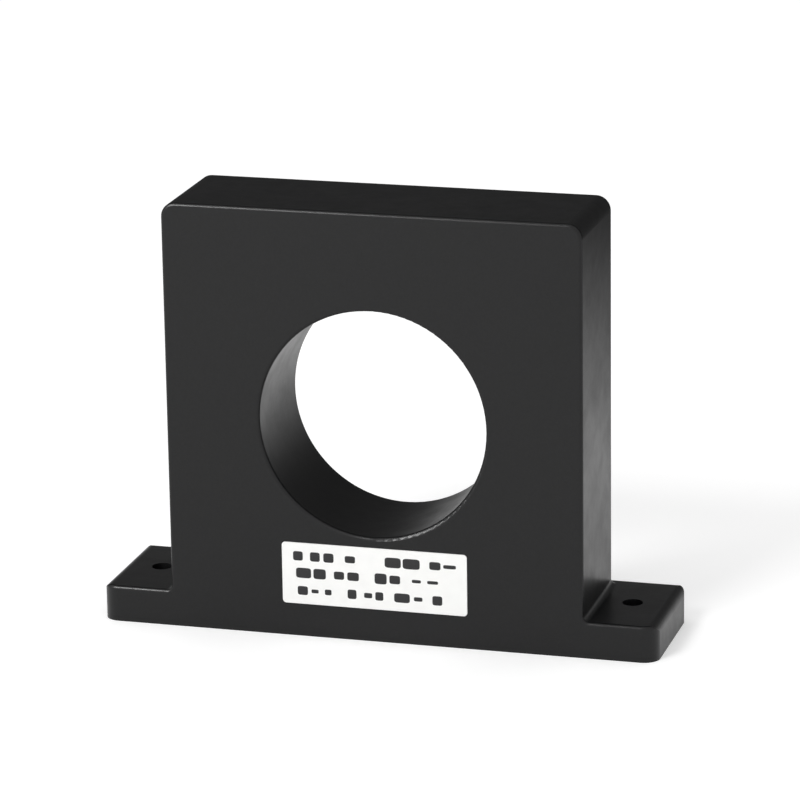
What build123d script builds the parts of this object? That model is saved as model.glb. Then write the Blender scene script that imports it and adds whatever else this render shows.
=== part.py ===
from build123d import *
from math import acos, atan2, cos, degrees, pi, radians, sin, sqrt
import os

# A window-type current transformer: a moulded case with a round window and a fixing
# base, holding a wound ring core set in potting compound and closed by a back cover.
# Millimetres.  X runs along the base, Y from the front face to the back, Z up.
# The origin is the centre of the base's underside.

# ---- Case ----
body_width = 92.0            # the upright box that holds the coil
body_height = 94.8           # from the base's underside to the top
body_depth = 27.0
top_corner_radius = 3.2
base_length = 124.0          # the base, flush in front, with one ear at each side of the box
base_thickness = 8.0
base_corner_radius = 3.5
base_rim_round = 2.0         # on its upper edges, at both ends and behind
wall = 2.5
edge_round = 0.8             # on the other outer edges
foot_round = 1.2             # where the box meets the base
ledge_flat = 0.3             # behind the box, between the foot's rounding and the rim's

# ---- Window for the busbar or cable, as wide as the coil leaves it ----
window_drop = 3.0            # its axis lies this far below the middle of the coil chamber
tube_wall = 2.0              # the tube that lines it

# ---- Fixing holes, one in the middle of each ear ----
hole_diameter = 4.5          # clearance for M4
hole_inset = 8.7             # from the end of the base

# ---- Back cover and its seat ----
cover_thickness = 2.5
cover_lip = 1.0              # width of the step that the cover rests on
cover_sill = 0.3             # flat strip of the case between the foot's rounding and the cover
cover_clearance = 0.1

# ---- Rating plate ----
plate_width = 41.2
plate_height = 13.8
plate_thickness = 0.25
plate_gap = 2.3              # from the window down to its upper edge
plate_corner_radius = 0.8
plate_recess = 0.3           # depth of its field in the case
plate_clearance = 0.1

# ---- Coil, from the outside in ----
coil_thickness = 8.9         # radially, from the tape's outside to its bore
potting_gap = 1.0            # compound between the coil and the walls round it
potting_cap = 1.4            # compound behind the coil
cushion_thickness = 1.0      # foam ring between the front wall and the coil
tape_thickness = 0.5
tape_clearance = 0.1         # between the tape and the turns
wire_diameter = 1.2
turn_count = 100
turn_groove = 0.3            # depth of the groove between turns
band_thickness = 0.5         # paper bands inside and outside the core
collar_thickness = 1.0       # pressboard rings at its two ends

# ---- Leads ----
lead_bend_radius = 5.0
lead_rise = 2.4              # height of the lead's bend above the chamber floor
lead_reach = 14.0            # from the terminal's axis to the bend, along the base, or longer
lead_run = 7.1               # from the bend to the turn that it leaves, along the base
lead_turn_limit = 62.0       # that turn lies at least as many degrees below the horizontal
end_turns = 2.0              # degrees of turns past that one, before the bare sector
sleeve_wall = 0.4
sleeve_clearance = 0.05
sleeve_margin = 0.6          # bare wire left at each end of the sleeve

# ---- Screw terminals on the back ----
terminal_inset_x = 7.5       # from the chamber's side wall to the terminal's axis
terminal_inset_z = 8.0       # from its floor
insert_neck_diameter = 8.0   # the part that passes the cover
insert_stand = 0.5           # how far it stands proud of the cover
insert_flange_width = 10.0   # hexagon, across flats
insert_flange_thickness = 2.0
insert_tail_diameter = 6.0
insert_tail_length = 3.0
insert_floor = 1.0           # metal left below the tapped hole
insert_clearance = 0.1
thread_diameter = 4.0        # M4
thread_clearance = 0.05
tag_thickness = 0.8
tag_diameter = 10.5
tag_clearance = 0.1
tag_tail_width = 3.0
barrel_wall = 0.8            # crimp barrel round the lead's end
barrel_start = 6.2           # from the terminal's axis
barrel_length = 5.0
lead_in_barrel = 4.0         # how far the lead's end reaches in
flat_washer_diameter = 9.0
flat_washer_thickness = 0.8
spring_washer_diameter = 7.6
spring_washer_thickness = 1.0
spring_washer_split = 0.8
spring_washer_slant = 20.0   # of the split, in degrees
washer_clearance = 0.15      # round the screw
screw_length = 8.0           # under the head
screw_head_diameter = 8.0
screw_head_height = 2.4
screw_head_round = 0.9
screw_cross_length = 4.2
screw_cross_width = 0.9
screw_cross_depth = 1.3
screw_tip = 0.5              # chamfer at the end

# ---- Places worked out from the sizes above ----
base_depth = body_depth + foot_round + ledge_flat + base_rim_round
front = -base_depth / 2
back = front + body_depth
hole_x = base_length / 2 - hole_inset

chamber_front = front + wall
chamber_back = back - cover_thickness
chamber_half_width = body_width / 2 - wall
chamber_floor = base_thickness + foot_round + cover_sill + cover_lip
chamber_roof = body_height - wall
chamber_corner_radius = max(top_corner_radius - wall, edge_round)
window_height = (chamber_floor + chamber_roof) / 2 - window_drop

coil_outer = min(chamber_half_width, window_height - chamber_floor) - potting_gap
coil_inner = coil_outer - coil_thickness
tube_radius = coil_inner - potting_gap
window_radius = tube_radius - tube_wall
coil_front = chamber_front + cushion_thickness
coil_back = chamber_back - potting_cap
turn_inset = tape_thickness + tape_clearance
core_inset = turn_inset + wire_diameter

terminal_x = chamber_half_width - terminal_inset_x
terminal_z = chamber_floor + terminal_inset_z
insert_face = back + insert_stand
flange_inner = chamber_back - insert_flange_thickness
insert_end = flange_inner - insert_tail_length
screw_radius = thread_diameter / 2 - thread_clearance
screw_seat = insert_face + flat_washer_thickness + spring_washer_thickness

lead_radius = wire_diameter / 2
sleeve_bore = lead_radius + sleeve_clearance
sleeve_radius = sleeve_bore + sleeve_wall
barrel_radius = sleeve_bore + barrel_wall
lead_depth = flange_inner - barrel_radius
lead_turn_radius = coil_outer - core_inset
lead_start_x = min(terminal_x - lead_reach - lead_run,
                   lead_turn_radius * cos(radians(lead_turn_limit)))
lead_turn_angle = acos(lead_start_x / lead_turn_radius)    # below the horizontal
lead_start = Vector(lead_start_x, lead_depth,
                    window_height - lead_turn_radius * sin(lead_turn_angle))
lead_bend = Vector(lead_start_x + lead_run, lead_depth, chamber_floor + lead_rise)
terminal_axis = Vector(terminal_x, lead_depth, terminal_z)
first_run = (lead_bend - lead_start).normalized()      # from the end turn to the bend
last_run = (lead_bend - terminal_axis).normalized()    # from the terminal to the bend


def through_depth(outline, near, far):
    """Extrudes an outline drawn in X and Z from the depth near to the depth far."""
    plane = Plane(origin=(0, far, 0), x_dir=(1, 0, 0), z_dir=(0, -1, 0))
    return extrude(plane * outline, far - near)


def disc(radius, near, far, x=0.0, z=window_height):
    """A round bar along Y."""
    return through_depth(Pos(x, z) * Circle(radius), near, far)


def ring(inner, outer, near, far, x=0.0, z=window_height):
    """A flat ring or tube along Y."""
    return through_depth(Pos(x, z) * (Circle(outer) - Circle(inner)), near, far)


def upright(half_width, bottom, top, radius, near, far):
    """A slab with its two upper corners rounded."""
    outline = Pos(0, (bottom + top) / 2) * Rectangle(2 * half_width, top - bottom)
    upper = outline.vertices().sort_by(Axis.Y)[-2:]
    return through_depth(fillet(upper, radius), near, far)


def edges_at(shape, axis, value):
    """The edges that lie wholly in the plane where one coordinate has this value."""
    return shape.edges().filter_by_position(axis, value, value)


# ---------------------------------------------------------------- case and cover

def chamber_slab(near, far, grow=0.0):
    """The coil chamber's outline, or one grown by a margin, as a slab."""
    return upright(chamber_half_width + grow, chamber_floor - grow, chamber_roof + grow,
                   chamber_corner_radius + grow, near, far)


def plate_outline(margin=0.0):
    """The rating plate's outline, centred under the window."""
    centre = window_height - window_radius - plate_gap - plate_height / 2
    return Pos(0, centre) * RectangleRounded(plate_width + 2 * margin, plate_height + 2 * margin,
                                             plate_corner_radius + margin)


def round_outside(shell):
    """Rounds the box's back edges, then its foot, then the front outline and base rim."""
    above_base = edges_at(shell, Axis.Y, back).filter_by(
        lambda edge: edge.center().Z > base_thickness + edge_round)
    shell = fillet(above_base, edge_round)
    foot = edges_at(shell, Axis.Z, base_thickness).filter_by(
        lambda edge: abs(edge.center().X) < body_width / 2 + edge_round
        and front + edge_round < edge.center().Y < back + edge_round)
    shell = fillet(foot, foot_round)
    outline = edges_at(shell, Axis.Y, front).filter_by(
        lambda edge: edge.bounding_box().min.Z > base_thickness / 2)
    rim = edges_at(shell, Axis.Z, base_thickness).filter_by(
        lambda edge: abs(edge.center().X) > base_length / 2 - base_corner_radius
        or edge.center().Y > base_depth / 2 - edge_round)
    return fillet(outline + rim, edge_round)


def rim_limits():
    """The box's column, and the base's slab with its upper edges rounded at the ends and behind."""
    ends = upright(base_length / 2, 0, base_thickness, base_rim_round, front, -front)
    rear = Pos(0, front) * Rot(Z=90) * upright(base_depth, 0, base_thickness, base_rim_round,
                                               -base_length / 2, base_length / 2)
    margin = foot_round + ledge_flat / 2
    column = Pos(0, (front + back + margin) / 2) * Rectangle(body_width + 2 * margin,
                                                             body_depth + margin)
    return (ends & rear) + extrude(column, body_height)


def make_case():
    """Box, base and window tube, moulded as one and open at the back."""
    box = upright(body_width / 2, 0, body_height, top_corner_radius, front, back)
    base = extrude(RectangleRounded(base_length, base_depth, base_corner_radius), base_thickness)
    shell = round_outside(box + base) & rim_limits()
    hollow = (chamber_slab(chamber_front, chamber_back)
              + chamber_slab(chamber_back, back, cover_lip))
    shell -= hollow - disc(tube_radius, front, back)
    shell -= disc(window_radius, front, back)
    rims = (edges_at(shell, Axis.Y, front) + edges_at(shell, Axis.Y, back)).filter_by(
        lambda edge: edge.geom_type == GeomType.CIRCLE
        and abs(edge.radius - window_radius) < edge_round)
    shell = fillet(rims, edge_round)
    shell -= through_depth(plate_outline(plate_clearance), front, front + plate_recess)
    for x in (-hole_x, hole_x):
        shell -= extrude(Pos(x, 0) * Circle(hole_diameter / 2), base_thickness)
    return shell


def make_back_cover():
    """Flat cover in the step at the back, pierced for the tube and the two terminals."""
    cover = chamber_slab(chamber_back, back, cover_lip - cover_clearance)
    cover -= disc(tube_radius + cover_clearance, chamber_back, back)
    neck_hole = insert_neck_diameter / 2 + insert_clearance
    for x in (-terminal_x, terminal_x):
        cover -= disc(neck_hole, chamber_back, back, x, terminal_z)
    return cover


def make_rating_plate():
    """Thin plate in its field on the front, let in just below the surface."""
    floor = front + plate_recess
    return through_depth(plate_outline(), floor - plate_thickness, floor)


# ---------------------------------------------------------------- coil

def make_core():
    """Ring core, wound from silicon steel strip."""
    inset = core_inset + band_thickness
    ends = core_inset + collar_thickness
    return ring(coil_inner + inset, coil_outer - inset, coil_front + ends, coil_back - ends)


def make_core_collar(at_front):
    """Pressboard ring on one end of the core."""
    inset = core_inset + band_thickness
    near = coil_front + core_inset if at_front else coil_back - core_inset - collar_thickness
    return ring(coil_inner + inset, coil_outer - inset, near, near + collar_thickness)


def make_core_band(inside):
    """Paper band round the core's bore or its rim, as wide as core and collars together."""
    near, far = coil_front + core_inset, coil_back - core_inset
    if inside:
        inner = coil_inner + core_inset
        return ring(inner, inner + band_thickness, near, far)
    outer = coil_outer - core_inset
    return ring(outer - band_thickness, outer, near, far)


def turn_crests(radius, depth, start, end):
    """A row of arcs along a circle, one for each turn, that touch it at their crests."""
    step = (end - start) / turn_count

    def point(distance, angle):
        return (distance * cos(angle), distance * sin(angle))

    return [ThreePointArc(point(radius - depth, start + step * turn),
                          point(radius, start + step * (turn + 0.5)),
                          point(radius - depth, start + step * (turn + 1)))
            for turn in range(turn_count)]


def make_winding():
    """One layer of copper wire round the wrapped core, with a bare sector at the bottom."""
    start = -lead_turn_angle - radians(end_turns)
    end = pi - start
    outer = turn_crests(coil_outer - turn_inset, turn_groove, start, end)
    inner = turn_crests(coil_inner + turn_inset, -turn_groove, start, end)
    sides = [Line(outer[0] @ 0, inner[0] @ 0), Line(outer[-1] @ 1, inner[-1] @ 1)]
    outline = Pos(0, window_height) * make_face(outer + inner + sides)
    turns = through_depth(outline, coil_front + turn_inset, coil_back - turn_inset)
    return turns - ring(coil_inner + core_inset, coil_outer - core_inset,
                        coil_front + core_inset, coil_back - core_inset)


def make_winding_tape(leads):
    """Tape wrapped all round the turns, with a slit for each lead."""
    tape = (ring(coil_inner, coil_outer, coil_front, coil_back)
            - ring(coil_inner + tape_thickness, coil_outer - tape_thickness,
                   coil_front + tape_thickness, coil_back - tape_thickness))
    for lead in leads:
        tape -= lead
    return tape


def make_cushion_ring():
    """Foam ring that spaces the coil from the front wall."""
    return ring(coil_inner, coil_outer, chamber_front, coil_front)


# ---------------------------------------------------------------- leads and terminals

def tape_exit():
    """How far along its first run the lead's axis leaves the tape."""
    centre = Vector(0, lead_depth, window_height)
    across = (lead_start - centre).dot(first_run)
    reach = (lead_start - centre).length
    return sqrt(across ** 2 - reach ** 2 + coil_outer ** 2) - across


def bar_along(points, radius):
    """A round bar along straight runs with a rounded bend between them."""
    path = FilletPolyline(*points, radius=lead_bend_radius)
    return sweep(Plane(path @ 0, z_dir=path % 0) * Circle(radius), path=path)


def make_lead():
    """Wire from an end turn to its tag, the inner end shaped to lie on the turn."""
    inside = terminal_axis + last_run * (barrel_start + barrel_length - lead_in_barrel)
    wire = bar_along([lead_start, lead_bend, inside], lead_radius)
    return wire - disc(coil_outer - tape_thickness, chamber_front, chamber_back)


def sleeve_form(radius):
    """A bar along the stretch of the lead that the sleeve covers."""
    start = lead_start + first_run * (tape_exit() + sleeve_radius + sleeve_margin)
    end = terminal_axis + last_run * (barrel_start + barrel_length + sleeve_margin)
    return bar_along([start, lead_bend, end], radius)


def make_lead_sleeve():
    """Woven sleeve over the bare lead."""
    return sleeve_form(sleeve_radius) - sleeve_form(sleeve_bore)


def insert_form():
    """Outside of the threaded insert: neck, hexagon and tail."""
    hexagon = Pos(terminal_x, terminal_z) * RegularPolygon(insert_flange_width / 2, 6,
                                                           major_radius=False)
    return (disc(insert_neck_diameter / 2, chamber_back, insert_face, terminal_x, terminal_z)
            + through_depth(hexagon, flange_inner, chamber_back)
            + disc(insert_tail_diameter / 2, insert_end, flange_inner, terminal_x, terminal_z))


def make_terminal_insert():
    """Brass insert, tapped from the outside."""
    return insert_form() - disc(thread_diameter / 2, insert_end + insert_floor, insert_face,
                                terminal_x, terminal_z)


def barrel(radius):
    """A bar where the tag's crimp barrel is."""
    mouth = Plane(origin=terminal_axis + last_run * barrel_start, z_dir=last_run)
    return extrude(mouth * Circle(radius), barrel_length)


def tag_form():
    """Outside of the ring tag: ring, tail and crimp barrel."""
    near = flange_inner - tag_thickness
    slope = degrees(atan2(last_run.Z, last_run.X))
    tail = Pos(terminal_x, terminal_z) * Rot(0, 0, slope) * Rectangle(
        barrel_start + barrel_wall, tag_tail_width, align=(Align.MIN, Align.CENTER))
    return (disc(tag_diameter / 2, near, flange_inner, terminal_x, terminal_z)
            + through_depth(tail, near, flange_inner) + barrel(barrel_radius))


def make_ring_tag():
    """Tinned tag on the insert's tail, crimped to the lead."""
    hole = insert_tail_diameter / 2 + tag_clearance
    return (tag_form() - disc(hole, insert_end, flange_inner, terminal_x, terminal_z)
            - barrel(sleeve_bore))


def make_potting():
    """Compound that fills the chamber round the coil and the terminals' inner parts."""
    fill = chamber_slab(chamber_front, chamber_back) - disc(tube_radius, chamber_front, back)
    fill -= disc(coil_outer, chamber_front, coil_back) - disc(coil_inner, chamber_front, back)
    for piece in (make_lead(), sleeve_form(sleeve_radius), tag_form(), insert_form()):
        fill -= piece
        fill -= mirror(piece, about=Plane.YZ)
    return fill


def make_flat_washer(x):
    """Plain washer on the insert's face."""
    return ring(screw_radius + washer_clearance, flat_washer_diameter / 2,
                insert_face, insert_face + flat_washer_thickness, x, terminal_z)


def make_spring_washer(x):
    """Split washer, drawn as it lies when clamped, its split slanted."""
    near = insert_face + flat_washer_thickness
    radius = spring_washer_diameter / 2
    washer = ring(screw_radius + washer_clearance, radius, near, screw_seat, x, terminal_z)
    split = Box(spring_washer_split, 3 * spring_washer_thickness, 2 * radius,
                align=(Align.CENTER, Align.CENTER, Align.MIN))
    return washer - Pos(x, near + spring_washer_thickness / 2, terminal_z) * Rot(
        0, 0, spring_washer_slant) * split


def make_terminal_screw(x):
    """Pan-head screw with a cross recess, its thread drawn as a plain shank."""
    top = screw_seat + screw_head_height
    head = disc(screw_head_diameter / 2, screw_seat, top, x, terminal_z)
    head = fillet(edges_at(head, Axis.Y, top), screw_head_round)
    bar = Rectangle(screw_cross_length, screw_cross_width)
    cross = Pos(x, terminal_z) * (bar + Rot(0, 0, 90) * bar)
    head -= through_depth(cross, top - screw_cross_depth, top)
    tip = screw_seat - screw_length
    shank = disc(screw_radius, tip, screw_seat, x, terminal_z)
    return head + chamfer(edges_at(shank, Axis.Y, tip), screw_tip)


def main():
    """Builds every piece and writes one STEP file for each."""
    lead = make_lead()
    pieces = {
        "case": make_case(),
        "back_cover": make_back_cover(),
        "rating_plate": make_rating_plate(),
        "core": make_core(),
        "core_collar_front": make_core_collar(True),
        "core_collar_back": make_core_collar(False),
        "core_band_inner": make_core_band(True),
        "core_band_outer": make_core_band(False),
        "winding": make_winding(),
        "winding_tape": make_winding_tape([lead, mirror(lead, about=Plane.YZ)]),
        "cushion_ring": make_cushion_ring(),
        "potting": make_potting(),
    }
    inner_pieces = {
        "lead": lead,
        "lead_sleeve": make_lead_sleeve(),
        "ring_tag": make_ring_tag(),
        "terminal_insert": make_terminal_insert(),
    }
    for name, piece in inner_pieces.items():
        pieces[name + "_s1"] = mirror(piece, about=Plane.YZ)
        pieces[name + "_s2"] = piece
    for terminal, x in (("s1", -terminal_x), ("s2", terminal_x)):
        pieces["flat_washer_" + terminal] = make_flat_washer(x)
        pieces["spring_washer_" + terminal] = make_spring_washer(x)
        pieces["terminal_screw_" + terminal] = make_terminal_screw(x)

    os.makedirs("parts", exist_ok=True)
    for name, piece in pieces.items():
        export_step(piece, "parts/" + name + ".step")


main()
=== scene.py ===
from math import atan2, cos, pi, radians, sin

import bpy
import numpy as np
from bpy.props import FloatProperty, FloatVectorProperty, PointerProperty
from mathutils import Matrix, Vector


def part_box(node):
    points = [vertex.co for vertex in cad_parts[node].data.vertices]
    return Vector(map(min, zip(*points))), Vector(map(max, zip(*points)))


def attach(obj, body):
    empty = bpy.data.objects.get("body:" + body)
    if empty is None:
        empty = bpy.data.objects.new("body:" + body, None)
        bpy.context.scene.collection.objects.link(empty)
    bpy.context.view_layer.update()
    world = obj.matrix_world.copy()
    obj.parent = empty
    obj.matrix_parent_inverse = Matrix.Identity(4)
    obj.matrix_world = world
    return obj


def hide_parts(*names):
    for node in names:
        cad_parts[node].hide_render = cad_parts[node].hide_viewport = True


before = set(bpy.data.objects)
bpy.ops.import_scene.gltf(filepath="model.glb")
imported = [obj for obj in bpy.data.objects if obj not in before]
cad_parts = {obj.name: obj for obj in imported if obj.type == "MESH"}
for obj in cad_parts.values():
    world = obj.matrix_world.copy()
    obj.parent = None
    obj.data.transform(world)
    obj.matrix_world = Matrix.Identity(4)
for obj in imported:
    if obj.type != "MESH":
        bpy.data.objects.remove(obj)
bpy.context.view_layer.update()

# A window-type current transformer: a black moulded block on a base with two ears, a white
# rating plate below the round window, and two screw terminals on its back cover.
# The CAD solids carry the shapes. This file gives them their finishes and adds the print
# on the plate, the screws' threads and recesses, the washers and the cover's mould marks.
# Metres.  X runs along the base, Y from the front face to the back, Z up.

bl_info = {
    "name": "Current Transformer Looks",
    "version": (1, 0, 0),
    "blender": (4, 5, 0),
    "location": "View3D > Sidebar > Transformer",
    "description": "Finishes and small pieces for a window-type current transformer",
    "category": "Object",
}

MM = 0.001
SIDES = ("s1", "s2")


# ---------------------------------------------------------------- settings

def linear(code):
    """An sRGB hex colour as the linear red, green, blue and alpha that nodes use."""
    value = np.array([int(code[i:i + 2], 16) for i in (1, 3, 5)]) / 255
    bright = ((value + 0.055) / 1.055) ** 2.4
    return (*np.where(value <= 0.04045, value / 12.92, bright).tolist(), 1.0)


def colour(name, description, code):
    """A colour setting whose default is an sRGB hex colour."""
    return FloatVectorProperty(name=name, description=description, subtype="COLOR", size=4,
                               min=0, max=1, default=linear(code))


def length(name, description, default_mm):
    """A length setting, given in millimetres."""
    return FloatProperty(name=name, description=description, subtype="DISTANCE", unit="LENGTH",
                         min=0, precision=5, default=default_mm * MM)


class MouldingSettings(bpy.types.PropertyGroup):
    """Black plastic of the case and the cover."""
    colour: colour("Colour", "Colour of the moulded plastic", "#0C0C0D")
    roughness: FloatProperty(name="Roughness", description="Roughness of the case's grain",
                             subtype="FACTOR", min=0, max=1, default=0.34)
    grain: length("Grain", "Width of the eroded grain's bumps", 0.5)
    relief: length("Relief", "Height of the grain's bumps", 0.008)


class PlateSettings(bpy.types.PropertyGroup):
    """Rating plate: film and print."""
    film: colour("Film", "Colour of the film", "#F9F9F7")
    ink: colour("Ink", "Colour of the print", "#0E0E10")
    ink_thickness: length("Ink thickness", "How far the print stands proud of the film", 0.02)
    line_height: length("Line height", "Height of the tallest marks", 2.1)


class HardwareSettings(bpy.types.PropertyGroup):
    """Screws, washers and inserts of the terminals."""
    nickel: colour("Nickel", "Colour of the plated screws", "#C9C6BF")
    zinc: colour("Zinc", "Colour of the plated washers", "#B9BFC6")
    brass: colour("Brass", "Colour of the threaded inserts", "#CDA85B")
    pitch: length("Thread pitch", "Pitch of the terminals' thread", 0.7)
    recess_length: length("Recess length", "Length of the cross recess across the head", 4.4)
    recess_width: length("Recess width", "Width of the cross recess's wings", 1.05)
    recess_depth: length("Recess depth", "Depth of the cross recess", 1.6)


class StageSettings(bpy.types.PropertyGroup):
    """Floor, light and camera."""
    floor: colour("Floor", "Colour of the floor", "#F2F2F2")
    key_power: FloatProperty(name="Key power", description="Power of the soft key light",
                             unit="POWER", min=0, default=4.5)
    fill: FloatProperty(name="Fill", description="Strength of the room's soft light",
                        min=0, default=0.75)
    azimuth: FloatProperty(name="Azimuth", description="Camera's turn from straight ahead",
                           subtype="ANGLE", default=radians(16.0))
    elevation: FloatProperty(name="Elevation", description="Camera's height above level",
                             subtype="ANGLE", default=radians(16.32))
    roll: FloatProperty(name="Roll", description="Camera's turn about its own axis",
                        subtype="ANGLE", default=radians(-0.85))
    distance: length("Distance", "From the camera to the point that it aims at", 951.3)
    lens: FloatProperty(name="Lens", description="Focal length on a 36 mm sensor",
                        unit="CAMERA", min=1, default=199.216)
    aim: FloatVectorProperty(name="Aim", description="Right, back and up from the origin",
                             subtype="TRANSLATION", unit="LENGTH", size=3,
                             default=(2.41 * MM, -1.75 * MM, 50.27 * MM))


# ---------------------------------------------------------------- meshes

def new_piece(name, mesh, material, smooth_angle=40.0):
    """Puts a mesh in the scene as a piece on the one body, smooth but for its sharp edges."""
    mesh.materials.append(material)
    mesh.shade_smooth()
    mesh.set_sharp_from_angle(angle=radians(smooth_angle))
    piece = bpy.data.objects.new(name, mesh)
    bpy.context.scene.collection.objects.link(piece)
    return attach(piece, "root")


def closed_mesh(name, rings, loop=False):
    """A closed mesh from points laid out as parts, rings, points round a ring, coordinates.

    Each ring closes on itself and quads join it to the next. The first and last rings are
    closed by one flat face each, or joined to each other where loop is set. Points that run
    anticlockwise about the direction in which the rings follow each other face outwards.
    """
    rings = rings.reshape(-1, *rings.shape[-3:])
    index = np.arange(rings.size // 3).reshape(rings.shape[:3])
    near, far = (index, np.roll(index, -1, 1)) if loop else (index[:, :-1], index[:, 1:])
    quads = np.stack([near, np.roll(near, -1, 2), np.roll(far, -1, 2), far], -1)
    faces = quads.reshape(-1, 4).tolist()
    if not loop:
        faces += index[:, 0, ::-1].tolist() + index[:, -1].tolist()
    mesh = bpy.data.meshes.new(name)
    mesh.from_pydata(rings.reshape(-1, 3), [], faces)
    return mesh


def about_axis(radius, angle, depth, x, z):
    """Points at a radius, an angle from Z towards X, and a depth, about an axis along Y."""
    return np.stack(np.broadcast_arrays(x + radius * np.sin(angle), depth,
                                        z + radius * np.cos(angle)), -1)


def rounded(angle, power):
    """Cosine and sine of an angle on a superellipse: a square with corners rounded less as
    the power grows. Each keeps its sign and is raised to two over the power."""
    return [np.sign(v) * np.abs(v) ** (2 / power) for v in (np.cos(angle), np.sin(angle))]


def axis_of(node):
    """A CAD node's centre across X and Z, and its lowest and highest Y."""
    low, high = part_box(node)
    return (low.x + high.x) / 2, (low.z + high.z) / 2, low.y, high.y


# ---------------------------------------------------------------- materials

def add(tree, kind, inputs=None, **settings):
    """Adds a node, sets it up, and gives its inputs their numbers or links."""
    node = tree.nodes.new("ShaderNode" + kind)
    for name, value in settings.items():
        setattr(node, name, value)
    for key, value in (inputs or {}).items():
        if isinstance(value, bpy.types.NodeSocket):
            tree.links.new(value, node.inputs[key])
        else:
            node.inputs[key].default_value = value
    return node


def new_material(name):
    """A material with no nodes but its Object coordinates, and those coordinates."""
    made = bpy.data.materials.new(name)
    made.use_nodes = True
    made.node_tree.nodes.clear()
    return made, made.node_tree, add(made.node_tree, "TexCoord").outputs["Object"]


def close_material(made, inputs):
    """Ends a material in a Principled shader with these inputs."""
    shader = add(made.node_tree, "BsdfPrincipled", inputs)
    add(made.node_tree, "OutputMaterial", {"Surface": shader.outputs[0]})
    return made


def wear(*nodes, material):
    """Gives CAD nodes a material in place of their plain one."""
    for name in nodes:
        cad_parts[name].material_slots[0].material = material


def moulded_plastic(name, settings, roughness, relief):
    """ABS, black, moulded in a spark-eroded tool: a fine even grain that breaks the gloss
    up, over a wall that lies not quite flat. The real grain is about 0.1 mm, and is drawn
    coarser so that it shows."""
    sink_width, sink_depth, handled_width = 22 * MM, 0.03 * MM, 7 * MM
    made, tree, place = new_material(name)
    grain = add(tree, "TexNoise", {"Vector": place, "Scale": 1 / settings.grain, "Detail": 2.0,
                                   "Roughness": 0.6}).outputs["Fac"]
    sink = add(tree, "TexNoise", {"Vector": place, "Scale": 1 / sink_width, "Detail": 1.0})
    handling = add(tree, "TexNoise", {"Vector": place, "Scale": 1 / handled_width,
                                      "Detail": 4.0, "Roughness": 0.65}).outputs["Fac"]
    uneven = add(tree, "MapRange", {"Value": handling, "From Min": 0.35, "From Max": 0.7,
                                    "To Min": roughness - 0.03, "To Max": roughness + 0.05})
    tone = add(tree, "MapRange", {"Value": grain, "From Min": 0.3, "From Max": 0.7,
                                  "To Min": 0.75, "To Max": 1.3})
    base = add(tree, "VectorMath", {0: settings.colour[:3], "Scale": tone.outputs[0]},
               operation="SCALE")
    flat = add(tree, "Bump", {"Height": sink.outputs["Fac"], "Distance": sink_depth})
    bump = add(tree, "Bump", {"Height": grain, "Distance": relief,
                              "Normal": flat.outputs[0]})
    return close_material(made, {"Base Color": base.outputs[0], "Roughness": uneven.outputs[0],
                                 "IOR": 1.5, "Specular IOR Level": 0.3,
                                 "Normal": bump.outputs[0]})


def plate_film(settings):
    """Polyester film, matt white, stuck down: even and bright, faintly dimpled by the
    glue under it."""
    dimple_width, dimple_depth = 3 * MM, 0.01 * MM
    made, tree, place = new_material("polyester_film")
    cloud = add(tree, "TexNoise", {"Vector": place, "Scale": 1 / dimple_width,
                                   "Detail": 3.0})
    shade = add(tree, "MapRange", {"Value": cloud.outputs["Fac"], "To Min": 0.95,
                                   "To Max": 1.03})
    base = add(tree, "VectorMath", {0: settings.film[:3], "Scale": shade.outputs[0]},
               operation="SCALE")
    bump = add(tree, "Bump", {"Height": cloud.outputs["Fac"], "Distance": dimple_depth})
    return close_material(made, {"Base Color": base.outputs[0], "Roughness": 0.45,
                                 "IOR": 1.57, "Normal": bump.outputs[0]})


def plate_ink(settings):
    """Screen-printing ink, black: dense, with the thin spots that the screen's threads
    leave. They lie about 0.1 mm apart, and are drawn coarser so that they show."""
    thread_spacing = 0.4 * MM
    made, tree, place = new_material("printing_ink")
    mesh = add(tree, "TexNoise", {"Vector": place, "Scale": 1 / thread_spacing,
                                  "Detail": 2.0})
    thin = add(tree, "MapRange", {"Value": mesh.outputs["Fac"], "From Min": 0.35,
                                  "From Max": 0.75, "To Min": 0.8, "To Max": 1.8})
    base = add(tree, "VectorMath", {0: settings.ink[:3], "Scale": thin.outputs[0]},
               operation="SCALE")
    return close_material(made, {"Base Color": base.outputs[0], "Roughness": 0.5, "IOR": 1.5})


def plated_steel(name, first, second, patch_size, smooth, rough):
    """Plated steel: a bright grey metal that drifts between two tints, with small dents
    from tumbling in the bath, between a smooth and a rough level of gloss."""
    dent_width, dent_depth = 0.35 * MM, 0.01 * MM
    made, tree, place = new_material(name)
    patch = add(tree, "TexNoise", {"Vector": place, "Scale": 1 / patch_size, "Detail": 2.0})
    tint = add(tree, "MapRange", {"Value": patch.outputs["Fac"], "From Min": 0.35,
                                  "From Max": 0.65})
    base = add(tree, "Mix", {0: tint.outputs[0], 6: first, 7: second}, data_type="RGBA")
    dents = add(tree, "TexNoise", {"Vector": place, "Scale": 1 / dent_width, "Detail": 3.0})
    gloss = add(tree, "MapRange", {"Value": dents.outputs["Fac"], "To Min": smooth,
                                   "To Max": rough})
    bump = add(tree, "Bump", {"Height": dents.outputs["Fac"], "Distance": dent_depth})
    return close_material(made, {"Base Color": base.outputs[2], "Metallic": 1.0,
                                 "Roughness": gloss.outputs[0], "Normal": bump.outputs[0]})


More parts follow.
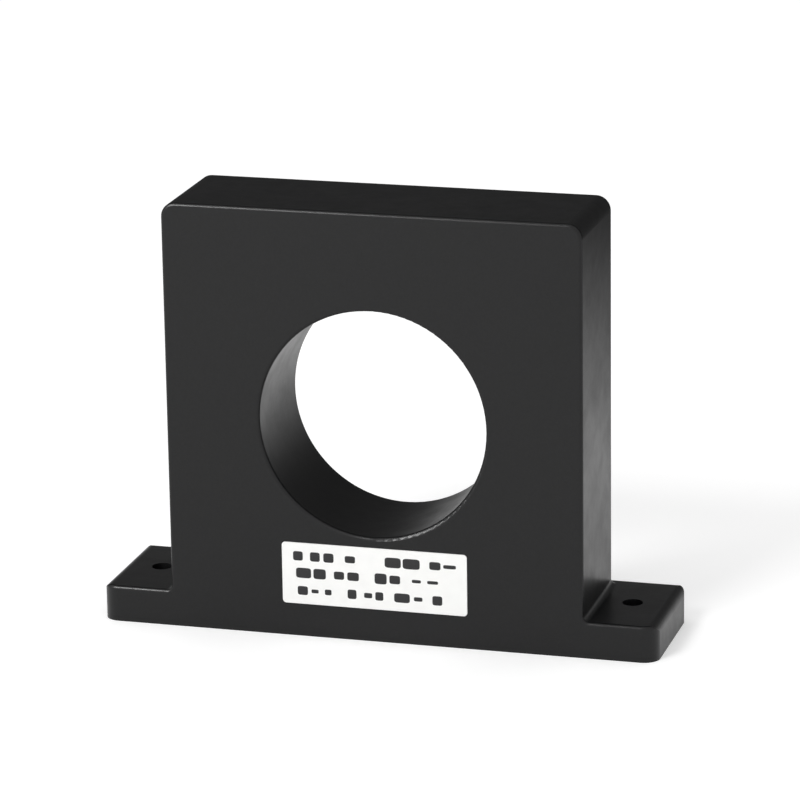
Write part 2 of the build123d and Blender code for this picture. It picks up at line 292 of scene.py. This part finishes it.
def around(tree, place, x, z):
    """Radius about an axis along Y, the angle there, and the depth, as sockets. Where x
    isn't 0, the two sides share the pattern, because X is taken without its sign."""
    split = add(tree, "SeparateXYZ", {0: place})
    side = add(tree, "Math", {0: split.outputs[0], 1: 0.0},
               operation="ABSOLUTE" if x else "ADD")
    across = add(tree, "Math", {0: side.outputs[0], 1: x}, operation="SUBTRACT")
    up = add(tree, "Math", {0: split.outputs[2], 1: z}, operation="SUBTRACT")
    flat = add(tree, "CombineXYZ", {0: across.outputs[0], 1: up.outputs[0]})
    radius = add(tree, "VectorMath", {0: flat.outputs[0]}, operation="LENGTH")
    angle = add(tree, "Math", {0: up.outputs[0], 1: across.outputs[0]}, operation="ARCTAN2")
    return radius.outputs["Value"], angle.outputs[0], split.outputs[1]


def turned_brass(settings, x, z):
    """Brass, turned: warm yellow, with the rings that the cutting edge leaves, 0.15 mm
    apart, and a darker film where it has been touched."""
    feed, ring_depth, film_width = 0.15 * MM, 0.004 * MM, 2 * MM
    made, tree, place = new_material("turned_brass")
    radius, _, depth = around(tree, place, x, z)
    both = add(tree, "Math", {0: radius, 1: depth}, operation="ADD")
    cut = add(tree, "Math", {0: both.outputs[0], 1: 2 * pi / feed}, operation="MULTIPLY")
    groove = add(tree, "Math", {0: cut.outputs[0]}, operation="SINE")
    film = add(tree, "TexNoise", {"Vector": place, "Scale": 1 / film_width, "Detail": 3.0})
    base = add(tree, "Mix", {0: film.outputs["Fac"], 6: settings.brass,
                             7: linear("#A9823F")}, data_type="RGBA")
    bump = add(tree, "Bump", {"Height": groove.outputs[0], "Distance": ring_depth})
    return close_material(made, {"Base Color": base.outputs[2], "Metallic": 1.0,
                                 "Roughness": 0.28, "Normal": bump.outputs[0]})


def mottled(name, first, second, size, relief, inputs):
    """A finish whose colour drifts between two over a size, with bumps to match."""
    made, tree, place = new_material(name)
    cloud = add(tree, "TexNoise", {"Vector": place, "Scale": 1 / size, "Detail": 4.0,
                                   "Roughness": 0.6}).outputs["Fac"]
    base = add(tree, "Mix", {0: cloud, 6: linear(first), 7: linear(second)},
               data_type="RGBA")
    bump = add(tree, "Bump", {"Height": cloud, "Distance": relief})
    return close_material(made, {"Base Color": base.outputs[2], "Normal": bump.outputs[0],
                                 **inputs})


def banded(name, first, second, z, by, spacing, relief, inputs):
    """A finish with bands about the window's axis: rings a spacing apart where by is 0, and
    rays an angle apart where it is 1. Each band rises to an edge and drops."""
    made, tree, place = new_material(name)
    along = around(tree, place, 0, z)[by]
    count = add(tree, "Math", {0: along, 1: spacing}, operation="DIVIDE")
    saw = add(tree, "Math", {0: count.outputs[0]}, operation="FRACT").outputs[0]
    base = add(tree, "Mix", {0: saw, 6: linear(first), 7: linear(second)}, data_type="RGBA")
    bump = add(tree, "Bump", {"Height": saw, "Distance": relief})
    return close_material(made, {"Base Color": base.outputs[2], "Normal": bump.outputs[0],
                                 **inputs})


# ---------------------------------------------------------------- pieces

class TRANSFORMER_OT_mouldings(bpy.types.Operator):
    """Gives the case and the back cover their moulded plastic"""
    bl_idname = "transformer.mouldings"
    bl_label = "Finish case and cover"

    def execute(self, context):
        settings = context.scene.transformer_moulding
        case = moulded_plastic("moulded_abs_eroded", settings, settings.roughness,
                               settings.relief)
        cover = moulded_plastic("moulded_abs_matt", settings, settings.roughness + 0.08,
                                settings.relief)
        wear("case", material=case)
        wear("back_cover", material=cover)
        return {"FINISHED"}


class TRANSFORMER_OT_plate(bpy.types.Operator):
    """Finishes the rating plate and prints plain bars on it"""
    bl_idname = "transformer.plate"
    bl_label = "Print rating plate"

    # Each row: height of its middle above the plate's, then bars as start, width and share
    # of the line height, in millimetres from the plate's left edge.
    ROWS = (
        (3.9, ((2.5, 2.2, 1.0), (6.3, 2.2, 1.0), (9.3, 2.3, 1.0), (14.1, 2.3, 0.75),
               (23.0, 3.6, 1.1), (27.0, 3.8, 1.1), (32.9, 2.5, 0.85), (36.0, 2.8, 0.4))),
        (0.1, ((3.1, 3.4, 1.1), (7.0, 2.8, 1.1), (11.6, 2.3, 0.85), (14.6, 2.6, 0.9),
               (20.7, 2.7, 1.15), (24.0, 2.4, 0.9), (29.0, 2.0, 0.35), (32.4, 2.4, 0.35))),
        (-3.9, ((3.4, 2.3, 0.95), (6.5, 1.6, 0.4), (9.5, 1.5, 0.6), (14.6, 2.0, 1.0),
                (18.3, 1.8, 0.55), (20.8, 1.8, 0.9), (25.0, 3.5, 1.0), (29.4, 1.9, 0.45),
                (33.5, 2.2, 1.0))),
    )

    def execute(self, context):
        settings = context.scene.transformer_plate
        wear("rating_plate", material=plate_film(settings))
        low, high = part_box("rating_plate")
        bars = np.array([(start + width / 2, row, width / 2, share / 2)
                         for row, marks in self.ROWS for start, width, share in marks])
        x = low.x + bars[:, 0] * MM
        z = (low.z + high.z) / 2 + bars[:, 1] * MM
        half_x, half_z = bars[:, 2] * MM, bars[:, 3] * settings.line_height
        points, corner_power = 40, 5
        side, up = rounded(np.linspace(0, 2 * pi, points, endpoint=False), corner_power)
        # three rings for each bar: in the film, below its top edge, and at the top
        depth = low.y + settings.ink_thickness * np.array([0.5, -0.6, -1.0])[:, None]
        size = np.array([1.0, 1.0, 0.96])[:, None]
        rings = np.stack(np.broadcast_arrays(
            x[:, None, None] + half_x[:, None, None] * size * side, depth,
            z[:, None, None] + half_z[:, None, None] * size * up), -1)
        new_piece("plate_print", closed_mesh("plate_print", rings), plate_ink(settings))
        return {"FINISHED"}


class TRANSFORMER_OT_cover_marks(bpy.types.Operator):
    """Adds the marks that the mould leaves on the back cover, and dots beside the terminals"""
    bl_idname = "transformer.cover_marks"
    bl_label = "Mark back cover"

    def execute(self, context):
        low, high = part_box("back_cover")
        right, terminal, _, _ = axis_of("terminal_screw_s2")
        angle = np.linspace(0, 2 * pi, 48, endpoint=False)
        pin_inset, lower_pin = 6 * MM, 30 * MM
        pins = [(sign * (high.x - pin_inset), z) for sign in (-1, 1)
                for z in (high.z - pin_inset, low.z + lower_pin)]
        # a pin's mark, a flat disc with a fine burr round it, and a domed dot: each as
        # radius and height
        pin = np.array([(2.5, -0.05), (2.5, 0.04), (2.44, 0.07), (2.36, 0.07), (2.3, 0.03),
                        (2.26, 0.03)]) * MM
        dot = np.array([(0.75, -0.05), (0.75, 0.1), (0.7, 0.2), (0.55, 0.28), (0.3, 0.32),
                        (0.08, 0.33)]) * MM
        # one dot above the first terminal, two above the second
        above, aside = terminal + 9.5 * MM, 1.3 * MM
        dots = [(-right, above), (right - aside, above), (right + aside, above)]
        marks = np.concatenate([
            about_axis(profile[:, :1], angle, high.y + profile[:, 1:], x, z)[None]
            for profile, places in ((pin, pins), (dot, dots)) for x, z in places])
        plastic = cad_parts["back_cover"].material_slots[0].material
        piece = new_piece("cover_marks", closed_mesh("cover_marks", marks), plastic,
                          smooth_angle=25.0)
        return {"FINISHED"}


class TRANSFORMER_OT_screws(bpy.types.Operator):
    """Makes the terminal screws, with threads and cross recesses"""
    bl_idname = "transformer.screws"
    bl_label = "Make terminal screws"

    def execute(self, context):
        settings = context.scene.transformer_hardware
        # Nickel plate, bright: smooth and faintly warm.
        nickel = plated_steel("nickel_plated_steel", settings.nickel, linear("#BDB8AC"),
                              3 * MM, 0.14, 0.3)
        for side in SIDES:
            x, z, tip, top = axis_of("terminal_screw_" + side)
            seat = axis_of("spring_washer_" + side)[3]
            low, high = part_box("terminal_screw_" + side)
            mesh = self.screw(x, z, tip, seat, top, (high.x - low.x) / 2, settings)
            piece = new_piece("pan_head_screw_" + side, mesh, nickel)
            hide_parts("terminal_screw_" + side)
        return {"FINISHED"}

    def screw(self, x, z, tip, seat, top, head_radius, settings):
        """Thread, head and recess as one run of rings from the tip outwards.

        The thread's radius falls from its crest by a triangle wave of depth over pitch less
        angle over a whole turn. The head's height over its radius is a superellipse. Each of
        its rings blends a circle with the cross, whose radius at an angle is the larger of
        two crossed rectangles'. The recess is that cross shrinking with depth.
        """
        long, wide = settings.recess_length / 2, settings.recess_width / 2
        corner = atan2(wide, long)
        eighth = np.concatenate([np.linspace(0, corner, 4)[:-1],
                                 np.linspace(corner, pi / 4, 6)[:-1]])
        quarter = np.concatenate([eighth, [pi / 4], pi / 2 - eighth[:0:-1]])
        angle = (quarter + np.arange(4)[:, None] * pi / 2).ravel()

        crest, depth, tip_chamfer = 1.95 * MM, 0.43 * MM, 0.6 * MM
        rings_per_turn = 10
        rise = np.arange(tip, seat, settings.pitch / rings_per_turn)[:, None]
        wave = np.abs(((rise / settings.pitch - angle / (2 * pi)) % 1) * 2 - 1)
        thread = np.minimum(crest - depth * wave, crest - tip_chamfer + (rise - tip))
        shank = about_axis(thread, angle, rise, x, z)

        radius = head_radius * np.array([0.93, 0.985, 1.0, 1.0])[:, None]
        height = np.array([0.0, 0.04, 0.12, 0.3])[:, None] * MM
        under = about_axis(radius, angle, seat + height, x, z)

        across, beside = np.abs(np.cos(angle)), np.abs(np.sin(angle))
        safe = 1e-9     # keeps the divisions below from zero
        cross = np.maximum(np.minimum(long / (across + safe), wide / (beside + safe)),
                           np.minimum(wide / (across + safe), long / (beside + safe)))

        def dome(distance):
            share = np.clip(distance / head_radius, 0, 1)
            return seat + height[-1] + (top - seat - height[-1]) * (1 - share ** 4) ** 0.25

        blend = (1 - np.cos(np.linspace(0, pi / 2, 14)[1:]))[:, None] ** 1.4
        ring = head_radius * (1 - blend) + cross * blend
        crown = about_axis(ring, angle, dome(ring), x, z)

        shrink = np.array([0.97, 0.93, 0.84, 0.62, 0.5, 0.2])[:, None]
        sink = np.array([0.04, 0.16, 0.5, 0.92, 1.0, 1.12])[:, None] * settings.recess_depth
        recess = about_axis(cross * shrink, angle, dome(cross * 0) - sink, x, z)
        recess[0, :, 1] = dome(cross)
        return closed_mesh("pan_head_screw", np.concatenate([shank, under, crown, recess]))


class TRANSFORMER_OT_washers(bpy.types.Operator):
    """Makes the plain and the split washers"""
    bl_idname = "transformer.washers"
    bl_label = "Make washers"

    def execute(self, context):
        # Zinc plate, blue passivated: greyer and duller, patchily blue and yellow.
        zinc = plated_steel("zinc_plated_steel", context.scene.transformer_hardware.zinc,
                            linear("#C6C3B4"), 2.5 * MM, 0.24, 0.46)
        for side in SIDES:
            for kind, make in (("flat_washer_", self.plain), ("spring_washer_", self.split)):
                low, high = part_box(kind + side)
                x, z, near, far = axis_of(kind + side)
                inner, outer = 2.1 * MM, (high.x - low.x) / 2
                piece = new_piece("zinc_" + kind + side, make(x, z, near, far, inner, outer),
                                  zinc)
                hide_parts(kind + side)
        return {"FINISHED"}

    def plain(self, x, z, near, far, inner, outer):
        """A superellipse section turned about the axis."""
        out, up = rounded(np.linspace(0, 2 * pi, 40, endpoint=False)[:, None], 9)
        angle = np.linspace(0, 2 * pi, 96, endpoint=False)
        radius = (outer + inner) / 2 + (outer - inner) / 2 * out
        depth = (far + near) / 2 + (far - near) / 2 * up
        return closed_mesh("plain_washer", about_axis(radius, angle, depth, x, z), loop=True)

    def split(self, x, z, near, far, inner, outer):
        """A superellipse section carried round all but the split, whose sides slant."""
        out, up = rounded(-np.linspace(0, 2 * pi, 32, endpoint=False), 7)
        half_gap, slant = 0.13, 0.12
        along = np.linspace(half_gap, 2 * pi - half_gap, 90)[:, None]
        radius = (outer + inner) / 2 + (outer - inner) / 2 * out
        depth = (far + near) / 2 + (far - near) / 2 * up
        return closed_mesh("split_washer", about_axis(radius, along + slant * up, depth, x, z))


class TRANSFORMER_OT_inserts(bpy.types.Operator):
    """Gives the threaded inserts their brass"""
    bl_idname = "transformer.inserts"
    bl_label = "Finish inserts"

    def execute(self, context):
        x, z, _, _ = axis_of("terminal_insert_s2")
        brass = turned_brass(context.scene.transformer_hardware, x, z)
        wear("terminal_insert_s1", "terminal_insert_s2", material=brass)
        return {"FINISHED"}


class TRANSFORMER_OT_coil(bpy.types.Operator):
    """Finishes the core and what is wound round it"""
    bl_idname = "transformer.coil"
    bl_label = "Finish coil"

    def execute(self, context):
        z = axis_of("core")[1]
        # Silicon steel strip, 0.3 mm, wound: bright grey edges in close rings.
        wear("core", material=banded(
            "wound_silicon_steel", "#8E9196", "#6C6F74", z, 0, 0.3 * MM, 0.02 * MM,
            {"Metallic": 1.0, "Roughness": 0.35}))
        # Pressboard, 1 mm: matt tan with flecks of fibre.
        wear("core_collar_front", "core_collar_back", material=mottled(
            "calendered_pressboard", "#B99568", "#9C7A50", 0.8 * MM, 0.02 * MM,
            {"Roughness": 0.85}))
        # Crepe paper: matt pale brown, with a crinkle every half millimetre or so.
        wear("core_band_inner", "core_band_outer", material=banded(
            "crinkled_crepe", "#C9AE84", "#B89A6C", z, 1, radians(0.8), 0.06 * MM,
            {"Roughness": 0.9}))
        # Enamelled copper wire: warm red metal under a thin clear coat.
        wear("winding", material=mottled(
            "enamelled_copper", "#B5653A", "#9E4F2A", 2.5 * MM, 0.01 * MM,
            {"Metallic": 1.0, "Roughness": 0.3, "Coat Weight": 1.0, "Coat Roughness": 0.1}))
        # Polyester tape, half lapped: glossy amber, with an edge at each lap, 7 mm apart.
        wear("winding_tape", material=banded(
            "polyester_tape", "#D9A92E", "#C89620", z, 1, radians(11.0), 0.05 * MM,
            {"Roughness": 0.3, "IOR": 1.57}))
        # Polyurethane foam: dull dark grey, pitted by its open cells.
        wear("cushion_ring", material=mottled(
            "open_cell_foam", "#2E2E30", "#48484B", 0.5 * MM, 0.2 * MM,
            {"Roughness": 1.0, "IOR": 1.45}))
        return {"FINISHED"}


class TRANSFORMER_OT_leads(bpy.types.Operator):
    """Finishes the leads, their sleeves and tags, and the compound round them"""
    bl_idname = "transformer.leads"
    bl_label = "Finish leads and potting"

    def execute(self, context):
        # Epoxy compound with mineral filler: satin black-brown, faintly clouded.
        wear("potting", material=mottled(
            "filled_epoxy", "#1B1917", "#2A2622", 3 * MM, 0.02 * MM,
            {"Roughness": 0.45, "IOR": 1.55}))
        # Copper wire, tinned: soft silvery grey, a little uneven from the dip.
        wear("lead_s1", "lead_s2", material=mottled(
            "tinned_copper", "#C6C3BC", "#AFABA3", 0.8 * MM, 0.01 * MM,
            {"Metallic": 1.0, "Roughness": 0.32}))
        # Glass braid, varnished: off-white, dimpled by the weave of its yarns.
        wear("lead_sleeve_s1", "lead_sleeve_s2", material=mottled(
            "varnished_glass_braid", "#D8D2BE", "#BDB59B", 0.35 * MM, 0.06 * MM,
            {"Roughness": 0.6, "IOR": 1.52}))
        # Copper sheet, tin plated and stamped: bright, with faint rolling marks.
        wear("ring_tag_s1", "ring_tag_s2", material=mottled(
            "bright_tin_plate", "#D2D2CE", "#BEBDB8", 1.5 * MM, 0.005 * MM,
            {"Metallic": 1.0, "Roughness": 0.22}))
        return {"FINISHED"}


# ---------------------------------------------------------------- stage

def camera_axes(azimuth, elevation, roll):
    """The camera's right, up and backward directions, as the columns of a matrix."""
    back = Vector((sin(azimuth) * cos(elevation), -cos(azimuth) * cos(elevation),
                   sin(elevation)))
    right = Vector((cos(azimuth), sin(azimuth), 0))
    up = back.cross(right)
    return Matrix((cos(roll) * right + sin(roll) * up, cos(roll) * up - sin(roll) * right,
                   back)).transposed()


class TRANSFORMER_OT_stage(bpy.types.Operator):
    """Makes the floor, the light and the camera"""
    bl_idname = "transformer.stage"
    bl_label = "Set up stage"

    def execute(self, context):
        settings = context.scene.transformer_stage
        self.world(context.scene, settings)
        self.floor(settings)
        self.flag()
        self.strip()
        self.key(settings)
        self.camera(context.scene, settings)
        return {"FINISHED"}

    def seen(self, tree):
        """1 for the rays that show the background: camera, glossy and transmission."""
        path = add(tree, "LightPath")
        shiny = add(tree, "Math", {0: path.outputs["Is Glossy Ray"],
                                   1: path.outputs["Is Transmission Ray"]},
                    operation="MAXIMUM")
        return add(tree, "Math", {0: path.outputs["Is Camera Ray"], 1: shiny.outputs[0]},
                   operation="MAXIMUM").outputs[0]

    def world(self, scene, settings):
        """White where it is seen, and a plain soft light on everything."""
        scene.world = bpy.data.worlds.new("studio")
        scene.world.use_nodes = True
        tree = scene.world.node_tree
        tree.nodes.clear()
        level = add(tree, "MapRange", {"Value": self.seen(tree), "To Min": settings.fill,
                                       "To Max": 1.0})
        sky = add(tree, "Background", {"Color": linear("#FFFFFF"),
                                       "Strength": level.outputs[0]})
        add(tree, "OutputWorld", {"Surface": sky.outputs[0]})
        scene.view_settings.view_transform = "Standard"

    def floor(self, settings):
        """A pale matt sheet that takes the shadow, lifted to white where it is seen."""
        half, seen_glow = 3.0, 0.28
        mesh = bpy.data.meshes.new("floor")
        mesh.from_pydata([(-half, -half, 0), (half, -half, 0), (half, half, 0),
                          (-half, half, 0)], [], [(0, 1, 2, 3)])
        made = bpy.data.materials.new("matt_paper")
        made.use_nodes = True
        tree = made.node_tree
        tree.nodes.clear()
        paper = add(tree, "BsdfDiffuse", {"Color": settings.floor})
        lift = add(tree, "Math", {0: self.seen(tree), 1: seen_glow}, operation="MULTIPLY")
        glow = add(tree, "Emission", {"Strength": lift.outputs[0]})
        both = add(tree, "AddShader", {0: paper.outputs[0], 1: glow.outputs[0]})
        add(tree, "OutputMaterial", {"Surface": both.outputs[0]})
        mesh.materials.append(made)
        floor = bpy.data.objects.new("floor", mesh)
        bpy.context.scene.collection.objects.link(floor)

    def card(self, name, corners, colour, strength):
        """A glowing card that only reflections show."""
        mesh = bpy.data.meshes.new(name)
        mesh.from_pydata(corners, [], [(0, 1, 2, 3)])
        made = bpy.data.materials.new(name)
        made.use_nodes = True
        tree = made.node_tree
        tree.nodes.clear()
        level = strength(tree) if callable(strength) else strength
        glow = add(tree, "Emission", {"Color": colour, "Strength": level})
        add(tree, "OutputMaterial", {"Surface": glow.outputs[0]})
        mesh.materials.append(made)
        card = bpy.data.objects.new(name, mesh)
        for kind in ("camera", "diffuse", "transmission", "volume_scatter", "shadow"):
            setattr(card, "visible_" + kind, False)
        bpy.context.scene.collection.objects.link(card)

    def flag(self):
        """A dark card behind the object, paler towards its foot, as a photographer's flag:
        it keeps the top and the upper sides from mirroring the bright room."""
        distance, half, height = 0.155, 0.9, 1.0
        pale, dark, fade_height = 0.84, 0.09, 52 * MM

        def fade(tree):
            place = add(tree, "TexCoord").outputs["Object"]
            up = add(tree, "SeparateXYZ", {0: place}).outputs[2]
            return add(tree, "MapRange", {"Value": up, "From Max": fade_height,
                                          "To Min": pale, "To Max": dark}).outputs[0]

        self.card("flag", [(-half, distance, 0), (half, distance, 0),
                           (half, distance, height), (-half, distance, height)],
                  linear("#FFFFFF"), fade)

    def strip(self):
        """A bright card above the front's left, that the rounded front edges mirror."""
        middle, along = Vector((-0.31, -0.365, 0.41)), Vector((0.11, 0, 0))
        half_width, brightness = 0.09, 38.0
        up = Vector((0, 0.683, 0.730)) * half_width
        self.card("strip", [middle - along - up, middle + along - up, middle + along + up,
                            middle - along + up], linear("#FFFFFF"), brightness)

    def key(self, settings):
        """One soft light, above the front and to the left. The strip card takes its place
        in reflections."""
        lamp = bpy.data.lights.new("key", "AREA")
        lamp.shape, lamp.size, lamp.size_y = "RECTANGLE", 0.3, 0.3
        lamp.energy = settings.key_power
        key = bpy.data.objects.new("key", lamp)
        key.location = (-0.33, -0.75, 0.75)
        aim = Vector((0, 0, 0.05)) - key.location
        key.rotation_mode = "QUATERNION"
        key.rotation_quaternion = aim.to_track_quat("-Z", "Y")
        key.visible_glossy = False
        bpy.context.scene.collection.objects.link(key)

    def camera(self, scene, settings):
        """A long lens at the object's height and a little above."""
        lens = bpy.data.cameras.new("camera")
        lens.lens, lens.sensor_width = settings.lens, 36.0
        lens.clip_start, lens.clip_end = 0.05, 20.0
        camera = bpy.data.objects.new("camera", lens)
        axes = camera_axes(settings.azimuth, settings.elevation, settings.roll)
        aim = settings.aim
        level = Vector((cos(settings.azimuth), sin(settings.azimuth), 0))
        target = aim[0] * level + Vector((0, aim[1], aim[2]))
        camera.matrix_world = Matrix.Translation(
            target + axes.col[2] * settings.distance) @ axes.to_4x4()
        scene.collection.objects.link(camera)
        scene.camera = camera


# ---------------------------------------------------------------- add-on

OPERATORS = (TRANSFORMER_OT_mouldings, TRANSFORMER_OT_plate, TRANSFORMER_OT_cover_marks,
             TRANSFORMER_OT_screws, TRANSFORMER_OT_washers, TRANSFORMER_OT_inserts,
             TRANSFORMER_OT_coil, TRANSFORMER_OT_leads, TRANSFORMER_OT_stage)
SETTINGS = {"transformer_moulding": MouldingSettings, "transformer_plate": PlateSettings,
            "transformer_hardware": HardwareSettings, "transformer_stage": StageSettings}


class TRANSFORMER_PT_panel(bpy.types.Panel):
    """Lists the pieces, and the sizes and colours that can be changed"""
    bl_label = "Current transformer"
    bl_idname = "TRANSFORMER_PT_panel"
    bl_space_type = "VIEW_3D"
    bl_region_type = "UI"
    bl_category = "Transformer"

    def draw(self, context):
        for operator in OPERATORS:
            self.layout.operator(operator.bl_idname)
        for name, group in SETTINGS.items():
            box = self.layout.box()
            for setting in group.__annotations__:
                box.prop(getattr(context.scene, name), setting)


def register():
    """Registers the settings, the operators and the panel."""
    for name, group in SETTINGS.items():
        bpy.utils.register_class(group)
        setattr(bpy.types.Scene, name, PointerProperty(type=group))
    for shown in (*OPERATORS, TRANSFORMER_PT_panel):
        bpy.utils.register_class(shown)


def unregister():
    """Takes all that register added away again."""
    for shown in (TRANSFORMER_PT_panel, *reversed(OPERATORS)):
        bpy.utils.unregister_class(shown)
    for name, group in reversed(SETTINGS.items()):
        delattr(bpy.types.Scene, name)
        bpy.utils.unregister_class(group)


def main():
    """Makes every piece and the stage."""
    register()
    make = bpy.ops.transformer
    make.mouldings()
    make.plate()
    make.cover_marks()
    make.screws()
    make.washers()
    make.inserts()
    make.coil()
    make.leads()
    make.stage()


if __name__ == "__main__":
    main()
